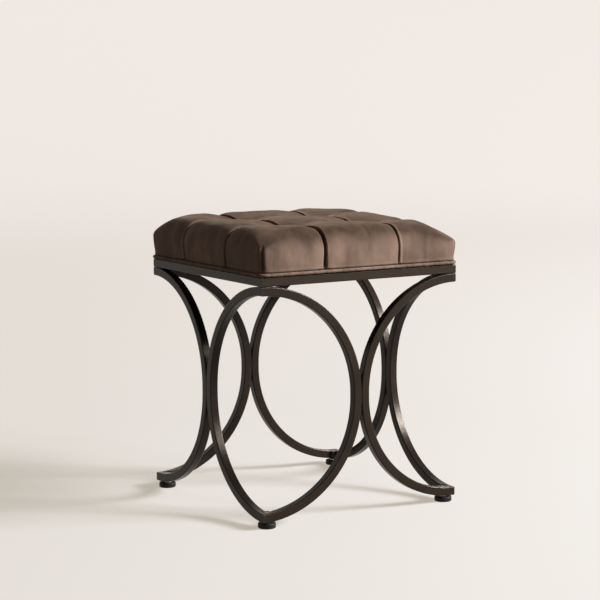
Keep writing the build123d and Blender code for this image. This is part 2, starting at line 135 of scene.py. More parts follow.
# Studio: rings of the flat floor, its sweep up into the backdrop, and the lights' places and sides
FLOOR_RINGS = (0.4, 0.8, 1.4, 2.2, 3.2, 4.4, 5.5)
FLOOR_SIDES = 96
SWEEP_RADIUS = 2.5
SWEEP_STEPS = 10
BACKDROP_REACH = FLOOR_RINGS[-1] + SWEEP_RADIUS
BACKDROP_HEIGHTS = (4.0, 6.0)
KEY_PLACE, KEY_SIDES = (4.94, -3.46, 3.65), (2.0, 2.0)
STRIP_PLACE, STRIP_SIDES = (2.70, -4.00, 3.25), (0.7, 2.2)
LIGHT_AIM = (0.0, 0.0, 0.3)
SENSOR_WIDTH = 36.0


def size(name, description, default):
    """A length that a user may change."""
    return bpy.props.FloatProperty(
        name=name, description=description, default=default, unit="LENGTH", precision=5
    )


def bearing(name, description, degrees):
    """An angle that a user may change."""
    return bpy.props.FloatProperty(
        name=name, description=description, default=math.radians(degrees), subtype="ANGLE"
    )


def number(name, description, default, unit="NONE"):
    """Any other number that a user may change."""
    return bpy.props.FloatProperty(name=name, description=description, default=default, unit=unit)


def tone(name, description, default):
    """A colour that a user may change."""
    return bpy.props.FloatVectorProperty(
        name=name, description=description, default=default, size=3, min=0.0, max=1.0, subtype="COLOR"
    )


class StoolSizes(bpy.types.PropertyGroup):
    """Sizes of the upholstery that Blender makes."""

    mesh_step: size("Mesh step", "Widest spacing of the cushion's grid lines", 0.0055)
    shoulder: size("Shoulder", "Radius of the cushion's upper edges", 0.038)
    draw_in: size("Draw in", "How far the sides pull in at the welt", 0.0025)
    corner: size("Corner", "Plan radius of the cushion's corners", 0.014)
    corner_round: size("Corner round", "Plan radius of the corners where the shoulder meets the crown", 0.048)
    corner_fall: size("Corner fall", "Crown of the cushion above the tops of its corners", 0.027)
    corner_blend: size("Corner blend", "How softly the sides turn over into the fall at a corner", 0.018)
    puff: size("Puff", "Rise of each square's middle above the plain crown", 0.0022)
    settle: size("Settle", "How far the crown has settled towards its front right corner", 0.0075)
    tuft_drop: size("Tuft drop", "Depth of a tie's dimple, where two channels cross", 0.0190)
    tuft_reach: size("Tuft reach", "Radius of the dimple that a tie draws down", 0.084)
    seam_drop: size("Seam drop", "Depth of a sewn channel on top, away from the dimples", 0.0062)
    seam_depth: size("Seam depth", "Depth of a sewn channel on the sides", 0.0034)
    seam_spread: size("Seam spread", "Width of a channel's long slope", 0.034)
    seam_wall: size("Seam wall", "Width of a channel's steep far wall", 0.015)
    slack: size("Slack", "How far the skin starts inside its filled shape", 0.0015)
    swell: size("Swell", "Most that the filling may push a point out", 0.0042)
    fold: size("Fold", "Height of the tuck that lies beside a seam", 0.0017)
    crease: size("Crease", "Extra depth of the stitched line itself", 0.0034)
    pucker: size("Pucker", "Height of the loose ripples in the velvet", 0.0005)
    corner_seam: size("Corner seam", "Depth of the closed seam at each corner", 0.0032)
    corner_top: size("Corner top", "Height at which a corner seam ends, above the foot of the sides", 0.045)
    welt_pucker: size("Welt pucker", "Ripple of the covered cord", 0.00012)
    dust_sag: size("Dust cover sag", "How far the cloth hangs between its staples", 0.0018)
    cloth: size("Cloth", "Thickness of a single layer of cloth", 0.0006)


class StoolColours(bpy.types.PropertyGroup):
    """Colours of the finishes."""

    # Ends of the velvet's mix: the nap's random tone lies between them, and the dark end also carries painted
    # shade on the front shoulders, the crown and the right side
    velvet_light: tone("Velvet light", "Nap brushed towards the light", (0.200, 0.133, 0.101))
    velvet_dark: tone("Velvet dark", "Nap brushed away from the light", (0.030, 0.0175, 0.0115))
    velvet_sheen: tone("Velvet sheen", "Tips of the pile at a low angle", (0.85, 0.66, 0.52))
    # Painted shade in the seams, along the corner seams and on the welt
    crease_shade: tone("Crease", "Pile pressed into a seam", (0.022, 0.013, 0.009))
    steel_coat: tone("Steel coat", "Dark bronze coating of the frame", (0.0098, 0.0070, 0.0048))
    steel_rub: tone("Steel rub", "Coating where hands and cartons have rubbed it", (0.024, 0.0172, 0.0118))
    foot_black: tone("Foot", "Moulded plastic of the foot pads", (0.0065, 0.0060, 0.0056))
    foot_scuff: tone("Foot scuff", "Plastic where a foot has been dragged", (0.022, 0.020, 0.018))
    zinc: tone("Zinc", "Plating of studs, bolts and staples", (0.56, 0.56, 0.54))
    zinc_haze: tone("Zinc haze", "Plating where it has dulled", (0.36, 0.36, 0.35))
    veneer_light: tone("Veneer light", "Early wood of the seat board", (0.62, 0.46, 0.29))
    veneer_dark: tone("Veneer dark", "Late wood of the seat board", (0.40, 0.26, 0.14))
    dust_black: tone("Dust cloth", "Non-woven cloth under the seat", (0.014, 0.014, 0.015))
    dust_fibre: tone("Dust fibre", "Paler fibres of that cloth", (0.045, 0.045, 0.047))
    steel_gleam: tone("Steel gleam", "Tint of what the frame reflects", (1.0, 0.85, 0.73))
    floor: tone("Floor", "Plain pale floor and backdrop", (0.195, 0.206, 0.222))
    floor_light: tone("Floor light", "Tint of the floor's own light beside the stool", (1.0, 0.90, 0.76))
    backdrop_light: tone("Backdrop light", "Tint of the backdrop's own light", (1.0, 0.915, 0.845))
    daylight: tone("Key light", "Colour of the key light", (1.0, 0.985, 0.97))
    ambient: tone("Ambient", "Colour of the room's soft light", (1.0, 0.82, 0.64))


class StudioSettings(bpy.types.PropertyGroup):
    """Camera and lights."""

    azimuth: bearing("Azimuth", "Camera round the stool", -31.34)
    elevation: bearing("Elevation", "Camera above the horizon", 7.10)
    roll: bearing("Roll", "Turn of the camera about its own axis", -0.28)
    distance: size("Distance", "Camera to the point it looks at", 3.201)
    aim_height: size("Aim height", "Height of that point", 0.3475)
    aim_side: size("Aim side", "That point, to the right of the stool's axis", -0.0032)
    lens: number("Lens", "Focal length on a 36 mm sensor", 109.1, "CAMERA")
    key_power: number("Key power", "Watts of the key light", 1430.0, "POWER")
    strip_power: number("Strip power", "Watts of the narrow light that glints in the frame", 110.0, "POWER")
    ambient_power: number("Ambient power", "Strength of the room's soft light", 0.145)
    floor_glow: number("Floor glow", "Light of the floor itself, beside the stool", 0.466)
    backdrop_glow: number("Backdrop glow", "Light of the backdrop itself", 0.69)


class Value:
    """A shader socket that works in Python sums; each operator adds one Math node."""

    def __init__(self, tree, socket):
        self.tree = tree
        self.socket = socket

    def maths(self, operation, first, second):
        """One Math node on two terms, each a socket or a number."""
        node = self.tree.nodes.new("ShaderNodeMath")
        node.operation = operation
        for slot, term in zip(node.inputs, (first, second)):
            if isinstance(term, Value):
                self.tree.links.new(term.socket, slot)
            else:
                slot.default_value = term
        return Value(self.tree, node.outputs[0])

    def __add__(self, other):
        return self.maths("ADD", self, other)

    def __radd__(self, other):
        return self.maths("ADD", other, self)

    def __sub__(self, other):
        return self.maths("SUBTRACT", self, other)

    def __rsub__(self, other):
        return self.maths("SUBTRACT", other, self)

    def __mul__(self, other):
        return self.maths("MULTIPLY", self, other)

    def __rmul__(self, other):
        return self.maths("MULTIPLY", other, self)


class Finish:
    """One material and the nodes that make it."""

    def __init__(self, name):
        self.material = bpy.data.materials.new(name)
        self.material.use_nodes = True
        self.tree = self.material.node_tree
        self.tree.nodes.clear()

    def node(self, kind, settings=None, inputs=None, output=0):
        """Any node: its type, its settings, the values or links of its sockets, and the output wanted."""
        made = self.tree.nodes.new("ShaderNode" + kind)
        for key, setting in (settings or {}).items():
            if key == "stops":
                ramp = made.color_ramp
                while len(ramp.elements) < len(setting):
                    ramp.elements.new(1.0)
                for element, (place, grey) in zip(ramp.elements, setting):
                    element.position = place
                    element.color = (grey, grey, grey, 1.0)
            else:
                setattr(made, key, setting)
        for key, value in (inputs or {}).items():
            slot = made.inputs[key]
            if isinstance(value, Value):
                self.tree.links.new(value.socket, slot)
            elif slot.type == "RGBA" and len(value) == 3:
                slot.default_value = (*value, 1.0)
            else:
                slot.default_value = value
        return Value(self.tree, made.outputs[output])

    def place(self, scale=(1.0, 1.0, 1.0), turn=(0.0, 0.0, 0.0)):
        """The stool's own coordinates, stretched and turned."""
        where = self.node("TexCoord", output="Object")
        return self.node("Mapping", inputs={"Vector": where, "Scale": scale, "Rotation": turn})

    def noise(self, where, scale, detail, roughness, swirl=0.0):
        """Even noise between 0 and 1."""
        grain = {"Scale": scale, "Detail": detail, "Roughness": roughness, "Distortion": swirl}
        return self.node("TexNoise", inputs={"Vector": where, **grain})

    def cells(self, scale, randomness=1.0):
        """Distance from the middle of the nearest small cell."""
        inputs = {"Vector": self.place(), "Scale": scale, "Randomness": randomness}
        return self.node("TexVoronoi", {"feature": "F1"}, inputs, output="Distance")

    def ramp(self, value, *stops):
        """A value read off a ramp, from stops of a place and a value each."""
        return self.node("ValToRGB", {"stops": stops}, {"Fac": value})

    def mix(self, amount, first, second):
        """Two colours, mixed."""
        return self.node("Mix", {"data_type": "RGBA"}, {0: amount, 6: first, 7: second}, output=2)

    def bump(self, height, distance, strength):
        """Surface relief from a height between 0 and 1."""
        return self.node("Bump", inputs={"Height": height, "Distance": distance, "Strength": strength})

    def close(self, **sockets):
        """Feed the surface shader, with a socket's name written with underscores."""
        named = {key.replace("_", " "): value for key, value in sockets.items()}
        surface = self.node("BsdfPrincipled", inputs=named)
        end = self.tree.nodes.new("ShaderNodeOutputMaterial")
        self.tree.links.new(surface.socket, end.inputs["Surface"])
        return self.material


def velvet(name, colours):
    """Short-pile velvet: nap brushed this way and that, with painted shade on the front shoulders, the crown
    and the right side, painted highlights along the tucks and painted shade in the seams.
    """
    finish = Finish(name)
    drape = finish.place(scale=(1.0, 1.0, 0.42))
    wide = finish.noise(drape, scale=17.0, detail=3.0, roughness=0.5)
    close_by = finish.noise(drape, scale=58.0, detail=4.0, roughness=0.6)
    pile = finish.noise(finish.place(), scale=1500.0, detail=2.0, roughness=0.6)
    # Painted shade on the front shoulders, the crown and the right side, less painted highlights along the
    # tucks: it calms the brushed noise and darkens the mix
    lay = finish.node("Attribute", {"attribute_name": "lay"}, output="Fac")
    slant = finish.place(scale=(1.0, 1.0, 0.34), turn=(0.25, 0.35, 0.0))
    stroke = finish.noise(slant, scale=31.0, detail=4.0, roughness=0.6, swirl=0.7)
    brush = wide * 0.34 + stroke * 0.42 + close_by * 0.24
    calm = lay * 0.65
    even = brush * (1.0 - calm) + calm * 0.5
    # The nap's random tone, with the painted shade and painted highlights mixed into it
    nap = finish.ramp(even - lay * 0.27, (0.21, 0.0), (0.67, 1.0))
    brushed = finish.mix(nap, colours.velvet_dark, colours.velvet_light)
    # Painted crease shade: darker in the stitched lines, the corner seams and the welt's stitching and ripple
    # hollows
    pressed = finish.node("Attribute", {"attribute_name": "pressed"}, output="Fac")
    shade = finish.mix(pressed, brushed, colours.crease_shade)
    relief = pile * 0.45 + stroke * 0.55
    return finish.close(
        Base_Color=shade,
        Roughness=0.86 - 0.16 * nap,
        Normal=finish.bump(relief, distance=0.0009, strength=0.40),
        Sheen_Weight=0.08,
        Sheen_Roughness=0.38,
        Sheen_Tint=colours.velvet_sheen,
        Specular_IOR_Level=0.09,
    )


def coated_steel(name, colours):
    """Dark bronze coating over mill-marked tube, rubbed a little lighter along edges and bends."""
    finish = Finish(name)
    along = finish.place(scale=(1.0, 1.0, 0.16))
    streak = finish.noise(along, scale=190.0, detail=4.0, roughness=0.6)
    cloud = finish.noise(finish.place(), scale=26.0, detail=4.0, roughness=0.55)
    grit = finish.noise(finish.place(), scale=1900.0, detail=2.0, roughness=0.5)
    edge = finish.node("NewGeometry", output="Pointiness")
    worn = finish.ramp(edge + (cloud - 0.5) * 0.05, (0.515, 0.0), (0.56, 1.0))
    cloudy = finish.ramp(cloud * 0.6 + streak * 0.4, (0.36, 0.0), (0.68, 1.0))
    coat = finish.mix(cloudy * 0.45, colours.steel_coat, colours.steel_rub)
    rubbed = finish.mix(worn * 0.55, coat, colours.steel_rub)
    return finish.close(
        Base_Color=rubbed,
        Roughness=0.19 + 0.08 * cloud + 0.07 * (streak - 0.5),
        Specular_IOR_Level=0.17,
        Specular_Tint=colours.steel_gleam,
        Normal=finish.bump(grit * 0.6 + streak * 0.4, distance=0.0002, strength=0.5),
    )


def moulded_plastic(name, colours):
    """Matt moulded plastic with a fine spark texture, scuffed where it drags."""
    finish = Finish(name)
    spark = finish.noise(finish.place(), scale=1300.0, detail=3.0, roughness=0.6)
    scuff = finish.noise(finish.place(scale=(1.0, 1.0, 4.0)), scale=120.0, detail=4.0, roughness=0.6)
    mark = finish.ramp(scuff, (0.55, 0.0), (0.75, 1.0))
    shade = finish.mix(mark * 0.35, colours.foot_black, colours.foot_scuff)
    return finish.close(
        Base_Color=shade,
        Roughness=0.52 + 0.2 * mark,
        Normal=finish.bump(spark, distance=0.0002, strength=0.5),
        Specular_IOR_Level=0.16,
    )


def plated_steel(name, colours):
    """Zinc plating with a faint spangle and turned marks."""
    finish = Finish(name)
    spangle = finish.cells(620.0)
    haze = finish.noise(finish.place(), scale=240.0, detail=4.0, roughness=0.6)
    turned = finish.noise(finish.place(scale=(0.2, 0.2, 6.0)), scale=420.0, detail=2.0, roughness=0.5)
    shade = finish.mix(haze * 0.5, colours.zinc, colours.zinc_haze)
    return finish.close(
        Base_Color=shade,
        Metallic=1.0,
        Roughness=0.26 + 0.22 * haze + 0.08 * spangle,
        Normal=finish.bump(turned, distance=0.0001, strength=0.4),
    )


def plywood(name, colours):
    """Birch plywood: figure on the faces, plies along the edge."""
    finish = Finish(name)
    warp = finish.noise(finish.place(), scale=9.0, detail=3.0, roughness=0.5)
    figure = finish.noise(finish.place(scale=(0.08, 1.0, 1.0)), scale=210.0, detail=5.0, roughness=0.6)
    height = finish.node("SeparateXYZ", inputs={"Vector": finish.place()}, output="Z")
    plies_up = height * 357.0 + warp * 0.2
    within = finish.node("Math", {"operation": "FRACT"}, {0: plies_up})
    plies = finish.ramp(within, (0.45, 0.0), (0.55, 1.0))
    face = finish.mix(figure, colours.veneer_dark, colours.veneer_light)
    shade = finish.mix(plies * 0.3, face, colours.veneer_dark)
    return finish.close(
        Base_Color=shade,
        Roughness=0.62 + 0.2 * figure,
        Normal=finish.bump(figure, distance=0.0003, strength=0.5),
    )


def dust_cloth(name, colours):
    """Non-woven cloth, point-bonded in a small grid."""
    finish = Finish(name)
    fibre = finish.noise(finish.place(scale=(1.0, 0.35, 1.0)), scale=900.0, detail=4.0, roughness=0.65)
    dots = finish.cells(520.0, randomness=0.12)
    bond = finish.ramp(dots, (0.25, 0.0), (0.42, 1.0))
    shade = finish.mix(fibre * 0.55, colours.dust_black, colours.dust_fibre)
    return finish.close(
        Base_Color=shade,
        Roughness=0.82 + 0.12 * fibre,
        Normal=finish.bump(bond * 0.7 + fibre * 0.3, distance=0.0003, strength=0.7),
    )


def plain_floor(name, colours, studio):
    """Pale painted floor with the faintest cloud in it, its own light growing towards the backdrop."""
    finish = Finish(name)
    cloud = finish.noise(finish.place(), scale=0.7, detail=2.0, roughness=0.5)
    pale = tuple(colours.floor)
    shade = finish.mix(cloud * 0.3, pale, tuple(c * 0.975 for c in pale))
    reach = finish.node("VectorMath", {"operation": "LENGTH"}, {0: finish.place()}, output="Value")
    far = finish.ramp(reach * (1.0 / BACKDROP_REACH), (0.10, 0.0), (0.80, 1.0))
    near_glow = tuple(c * studio.floor_glow for c in colours.floor_light)
    far_glow = tuple(c * studio.backdrop_glow for c in colours.backdrop_light)
    return finish.close(
        Base_Color=shade,
        Roughness=0.9 - 0.05 * cloud,
        Specular_IOR_Level=0.1,
        Emission_Color=finish.mix(far, near_glow, far_glow),
        Emission_Strength=1.0,
    )


def finish_node(name, material):
    """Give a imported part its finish."""
    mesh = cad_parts[name].data
    mesh.materials.clear()
    mesh.materials.append(material)


def placed(mesh, material, smooth=True):
    """An object of the mesh's own name, at the stool's origin."""
    mesh.materials.append(material)
    mesh.polygons.foreach_set("use_smooth", [smooth] * len(mesh.polygons))
    mesh.update()
    piece = bpy.data.objects.new(mesh.name, mesh)
    bpy.context.scene.collection.objects.link(piece)
    return piece


def from_faces(name, vertices, faces, material):
    """A smooth piece from its points and faces."""
    mesh = bpy.data.meshes.new(name)
    mesh.from_pydata([tuple(v) for v in vertices], [], [tuple(f) for f in faces])
    return placed(mesh, material)


def from_form(name, form, material, smooth=True):
    """A piece from a bmesh, which is freed."""
    mesh = bpy.data.meshes.new(name)
    form.to_mesh(mesh)
    form.free()
    return placed(mesh, material, smooth)


def band_faces(rows, around, first=0, closed=False):
    """Faces between rows of points, each row a loop; the last row joins the first one if closed."""
    faces = []
    for k in range(rows if closed else rows - 1):
        low, high = first + k * around, first + (k + 1) % rows * around
        for a in range(around):
            b = (a + 1) % around
            faces.append((low + a, high + a, high + b, low + b))
    return faces


def corners_in(made):
    """The vertices among what a bmesh operator has made."""
    return [g for g in made if isinstance(g, bmesh.types.BMVert)]


def fixed_mesh(piece):
    """Replace a piece's mesh by what its modifiers make of it, and drop them."""
    depsgraph = bpy.context.evaluated_depsgraph_get()
    shown = piece.evaluated_get(depsgraph)
    mesh = bpy.data.meshes.new_from_object(shown, preserve_all_data_layers=True, depsgraph=depsgraph)
    piece.modifiers.clear()
    piece.data = mesh


def thicken(piece, thickness):
    """Give a sheet of cloth its thickness, half to each side."""
    cloth = piece.modifiers.new("cloth", "SOLIDIFY")
    cloth.thickness = thickness
    cloth.offset = 0.0
    fixed_mesh(piece)


def subdivide(piece):
    """Smooth a piece by one subdivision."""
    smoother = piece.modifiers.new("smooth", "SUBSURF")
    smoother.levels = 1
    smoother.render_levels = 1
    fixed_mesh(piece)


def write_marks(mesh, domain, name, amounts):
    """Write a number on each point or edge of a mesh."""
    layer = mesh.attributes.new(name, "FLOAT", domain)
    layer.data.foreach_set("value", np.asarray(amounts, np.float32))


def points_of(mesh):
    """A mesh's vertices as rows of numbers."""
    flat = np.empty(3 * len(mesh.vertices))
    mesh.vertices.foreach_get("co", flat)
    return flat.reshape(-1, 3)


def set_points(mesh, points):
    """Move a mesh's vertices."""
    mesh.vertices.foreach_set("co", np.asarray(points).ravel())
    mesh.update()


def normals_of(mesh):
    """A mesh's vertex normals as rows of numbers."""
    flat = np.empty(3 * len(mesh.vertices), np.float32)
    mesh.vertex_normals.foreach_get("vector", flat)
    return flat.reshape(-1, 3).astype(float)


def on_rounded_square(x, y, half, radius):
    """A point of a square's outline, moved onto the same square with round corners."""
    sx, sy = math.copysign(1.0, x), math.copysign(1.0, y)
    ax, ay = abs(x), abs(y)
    centre = half - radius
    if radius > 0 and ax > centre and ay > centre:
        lesser = (min(ax, ay) - centre) / radius
        angle = lesser * math.pi / 4 if ax >= ay else math.pi / 2 - lesser * math.pi / 4
        return sx * (centre + radius * math.cos(angle)), sy * (centre + radius * math.sin(angle))
    return x, y


def ripple(points, wave, seed):
    """Smooth ripples between -1 and 1, the same on each run."""
    draw = np.random.default_rng(seed)
    total = np.zeros(len(points))
    for _ in range(10):
        way = draw.normal(size=3) * np.array([1.0, 1.0, 0.45])
        way *= 2 * math.pi / (wave * draw.uniform(0.7, 1.6) * np.linalg.norm(way))
        total += np.sin(points @ way + draw.uniform(0, 2 * math.pi))
    return total / 4.5


def clamp(amount):
    """Numbers held between 0 and 1."""
    return np.clip(amount, 0.0, 1.0)


def ridge(side, width):
    """A smooth ridge along a line, 1 high on it."""
    return np.exp(-((side / width) ** 2))


class Skin:
    """Grid of the cushion's upper skin: points, faces, and how each point lies to the seams."""

    def __init__(self, sizes):
        self.half = SEAT_HIGH.x
        self.top = SEAT_HIGH.z
        self.seam = SEAM_AT
        self.flat = self.half - sizes.shoulder
        self.crest = self.top - sizes.shoulder
        self.bottom = WELT_HIGH.z + 2 * SOFT_GAP
        self.reach = math.sqrt(2) * self.half - (math.sqrt(2) - 1) * sizes.corner
        self.sizes = sizes
        self.points, self.faces, self.corner = [], [], []
        self.columns = self.column_places()
        self.lay_top()
        self.lay_sides()
        self.points = np.array(self.points)
        self.corner = np.array(self.corner)

    def run(self, length):
        """Distances from a seam, near ones close together."""
        last = BESIDE_SEAM[-1]
        count = round((length - last) / self.sizes.mesh_step)
        return [*BESIDE_SEAM, *(last + (length - last) * (i + 1) / count for i in range(count))]

    def column_places(self):
        """Grid lines from the middle of the seat to the middle of the shoulder."""
        inward = [self.seam - d for d in reversed(self.run(self.seam))]
        outward = [self.seam + d for d in self.run(self.flat - self.seam)[1:]]
        bends = [math.pi / 4 * (i + 1) / SHOULDER_COLUMNS for i in range(SHOULDER_COLUMNS)]
        return [max(p, 0.0) for p in inward + outward] + [
            self.flat + self.sizes.shoulder * math.sin(b) for b in bends
        ]

    def corner_at(self, half):
        """Plan corner radius of a ring: none among the ties, widest on the shoulder, small at the sides."""
        if half <= self.flat:
            start = (self.seam + self.flat) / 3
            return self.sizes.corner_round * max(0.0, (half - start) / (self.flat - start)) ** 2
        rise = (half - self.flat) / self.sizes.shoulder
        return self.sizes.corner_round + (self.sizes.corner - self.sizes.corner_round) * rise

    def pulled_down(self, x, y, height):
        """A point's height once the corner nearest to it has drawn the crown down."""
        blend = self.sizes.corner_blend
        near_corner = max(0.0, math.hypot(x, y) - self.half) / (self.reach - self.half)
        fall = (self.sizes.corner_fall + blend) * near_corner ** CORNER_SHAPES[x > 0]
        limit = self.top + blend - fall
        meet = max(0.0, 1.0 - abs(height - limit) / blend)
        return min(height, limit) - meet * meet * blend / 4

    def add(self, x, y, half, height):
        """One point of a ring."""
        px, py = on_rounded_square(x, y, half, self.corner_at(half))
        self.points.append((px, py, self.pulled_down(px, py, height)))
        self.corner.append(abs(abs(x) - abs(y)))
        return len(self.points) - 1

    def lay_top(self):
        """Square grid over the crown and the upper half of the shoulders."""
        line = [-c for c in reversed(self.columns[1:])] + self.columns
        self.top_ids = {}
        for j, y in enumerate(line):
            for i, x in enumerate(line):
                half = max(abs(x), abs(y))
                rise = max(0.0, half - self.flat) / self.sizes.shoulder
                height = self.crest + self.sizes.shoulder * math.sqrt(1.0 - rise * rise)
                self.top_ids[i, j] = self.add(x, y, half, height)
        for j in range(len(line) - 1):
            for i in range(len(line) - 1):
                places = (i, j), (i + 1, j), (i + 1, j + 1), (i, j + 1)
                self.faces.append([self.top_ids[place] for place in places])
        self.line = line

    def lay_sides(self):
        """Rings down the lower shoulders and the sides, ending at the welt."""
        last = len(self.line) - 1
        walk = [(i, 0) for i in range(last)] + [(last, j) for j in range(last)]
        walk += [(last - i, last) for i in range(last)] + [(0, last - j) for j in range(last)]
        ring = [self.top_ids[place] for place in walk]
        inner_half = self.columns[-1]
        rows = []
        for k in range(SHOULDER_ROWS):
            bend = math.pi / 4 * (1 + (k + 1) / SHOULDER_ROWS)
            across, up = self.sizes.shoulder * math.sin(bend), self.sizes.shoulder * math.cos(bend)
            rows.append((self.flat + across, self.crest + up))
        for k in range(SIDE_ROWS):
            down = (k + 1) / SIDE_ROWS
            height = self.crest + (self.bottom - self.crest) * down
            rows.append((self.half - self.sizes.draw_in * down**2, height))
        for half, height in rows:
            grown = (half - self.flat) / (inner_half - self.flat)
            next_ring = []
            for i, j in walk:
                x, y = (
                    math.copysign(self.flat + (abs(c) - self.flat) * grown, c) if abs(c) > self.flat else c
                    for c in (self.line[i], self.line[j])
                )
                next_ring.append(self.add(x, y, half, height))
            for k, (a, b) in enumerate(zip(ring, next_ring)):
                c, d = ring[(k + 1) % len(ring)], next_ring[(k + 1) % len(ring)]
                self.faces.append((a, b, d, c))
            ring = next_ring
        self.foot = ring

    def past_seam(self, axis):
        """How far each point lies past the nearest seam across one axis; less than nothing before it."""
        along = self.points[:, axis]
        return along - np.copysign(self.seam, along)

    def seam_distance(self, axis):
        """How far each point is from the nearest seam across one axis."""
        return np.abs(self.past_seam(axis))

    def near_seam(self):
        """How far each point is from the nearest seam of all."""
        return np.minimum(self.seam_distance(0), self.seam_distance(1))

    def gather(self, axis):
        """How hard the seam nearest to each point is gathered."""
        return np.where(self.points[:, axis] < 0, *GATHERS[axis])

    def started(self, out):
        """The skin before it is filled: channels and dimples at their depth, the squares a little slack."""
        sizes = self.sizes
        up = clamp(out[:, 2])
        near = self.near_seam()
        to_tie = np.hypot(self.seam_distance(0), self.seam_distance(1))
        depth = sizes.seam_depth + (sizes.seam_drop - sizes.seam_depth) * up
        channel = np.zeros(len(near))
        for axis in (0, 1):
            gather = self.gather(axis)
            wall = gather * sizes.seam_wall + (1.0 - gather) * sizes.seam_spread
            spread = np.where(self.past_seam(axis) < 0, sizes.seam_spread, wall)
            slope = clamp(1.0 - self.seam_distance(axis) / spread) ** 2
            channel = np.maximum(channel, depth * slope * (0.45 + 0.55 * gather))
        dimple = sizes.tuft_drop * up * clamp(1.0 - to_tie / sizes.tuft_reach) ** DIMPLE_POWER
        full = clamp(near / sizes.seam_spread)
        x, y = self.points[:, 0], self.points[:, 1]
        rise = (sizes.puff * up - sizes.slack) * full * (2.0 - full)
        rightward = clamp((x - self.seam / 2) / (self.half - self.seam / 2))
        rise -= sizes.settle * up * rightward * clamp((self.seam - y) / (2 * self.seam))
        rise[self.foot] = 0.0
        return self.points + out * (rise - np.cbrt(channel**3 + dimple**3))[:, None]

    def pins(self):
        """Points that stitches hold: the seams and the foot of the sides."""
        held = self.near_seam() < ON_SEAM
        held[self.foot] = True
        return held


def fill_with_cloth(piece, pinned, swell):
    """Blow the skin up as cloth under a light pressure, and let no point move further than the swell."""
    start = points_of(piece.data)
    group = piece.vertex_groups.new(name="stitched")
    group.add([int(i) for i in np.nonzero(pinned)[0]], 1.0, "REPLACE")
    cloth = piece.modifiers.new("filling", "CLOTH")
    settings = cloth.settings
    settings.quality = 6
    settings.mass = 0.3
    settings.tension_stiffness = 18.0
    settings.compression_stiffness = 12.0
    settings.shear_stiffness = 6.0
    settings.bending_stiffness = 0.6
    settings.use_pressure = True
    settings.uniform_pressure_force = 4.0
    settings.effector_weights.gravity = 0.0
    settings.vertex_group_mass = group.name
    scene = bpy.context.scene
    cloth.point_cache.frame_start = 1
    cloth.point_cache.frame_end = FILL_FRAMES
    for step in range(1, FILL_FRAMES + 1):
        scene.frame_set(step)
    fixed_mesh(piece)
    scene.frame_set(1)
    piece.vertex_groups.clear()
    moved = points_of(piece.data) - start
    length = np.linalg.norm(moved, axis=1)
    share = np.minimum(1.0, swell / np.maximum(length, LEAST_MOVE))
    limit = np.where(length > LEAST_MOVE, share, 0.0)
    set_points(piece.data, start + moved * limit[:, None])


class STOOL_OT_frame(bpy.types.Operator):
    """Coat the apron rails, arcs, corner tabs and foot bushes in dark bronze"""

    bl_idname = "stool.frame"
    bl_label = "Frame finish"

    def execute(self, context):
        coat = coated_steel("dark_bronze_coat", context.scene.stool_colours)
        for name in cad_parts:
            if name.startswith(("apron_rail_", "arc_", "corner_tab_", "foot_bush_")):
                finish_node(name, coat)
        return {"FINISHED"}


class STOOL_OT_feet(bpy.types.Operator):
    """Finish the moulded foot pads and their plated studs"""

    bl_idname = "stool.feet"
    bl_label = "Feet finish"

    def execute(self, context):
        colours = context.scene.stool_colours
        plastic = moulded_plastic("foot_plastic", colours)
        plated = plated_steel("zinc_plate", colours)
        for corner in CORNERS:
            finish_node(f"foot_pad_{corner}", plastic)
            finish_node(f"foot_stud_{corner}", plated)
        return {"FINISHED"}


class STOOL_OT_fastenings(bpy.types.Operator):
    """Finish the seat board and the bolts, washers, T-nuts and staples that hold the seat"""

    bl_idname = "stool.fastenings"
    bl_label = "Board and fastenings"

    def execute(self, context):
        colours = context.scene.stool_colours
        finish_node("seat_board", plywood("birch_plywood", colours))
        plated = plated_steel("zinc_fastenings", colours)
        for name in ("seat_bolts", "seat_washers", "t_nuts", "staples"):
            finish_node(name, plated)
        return {"FINISHED"}


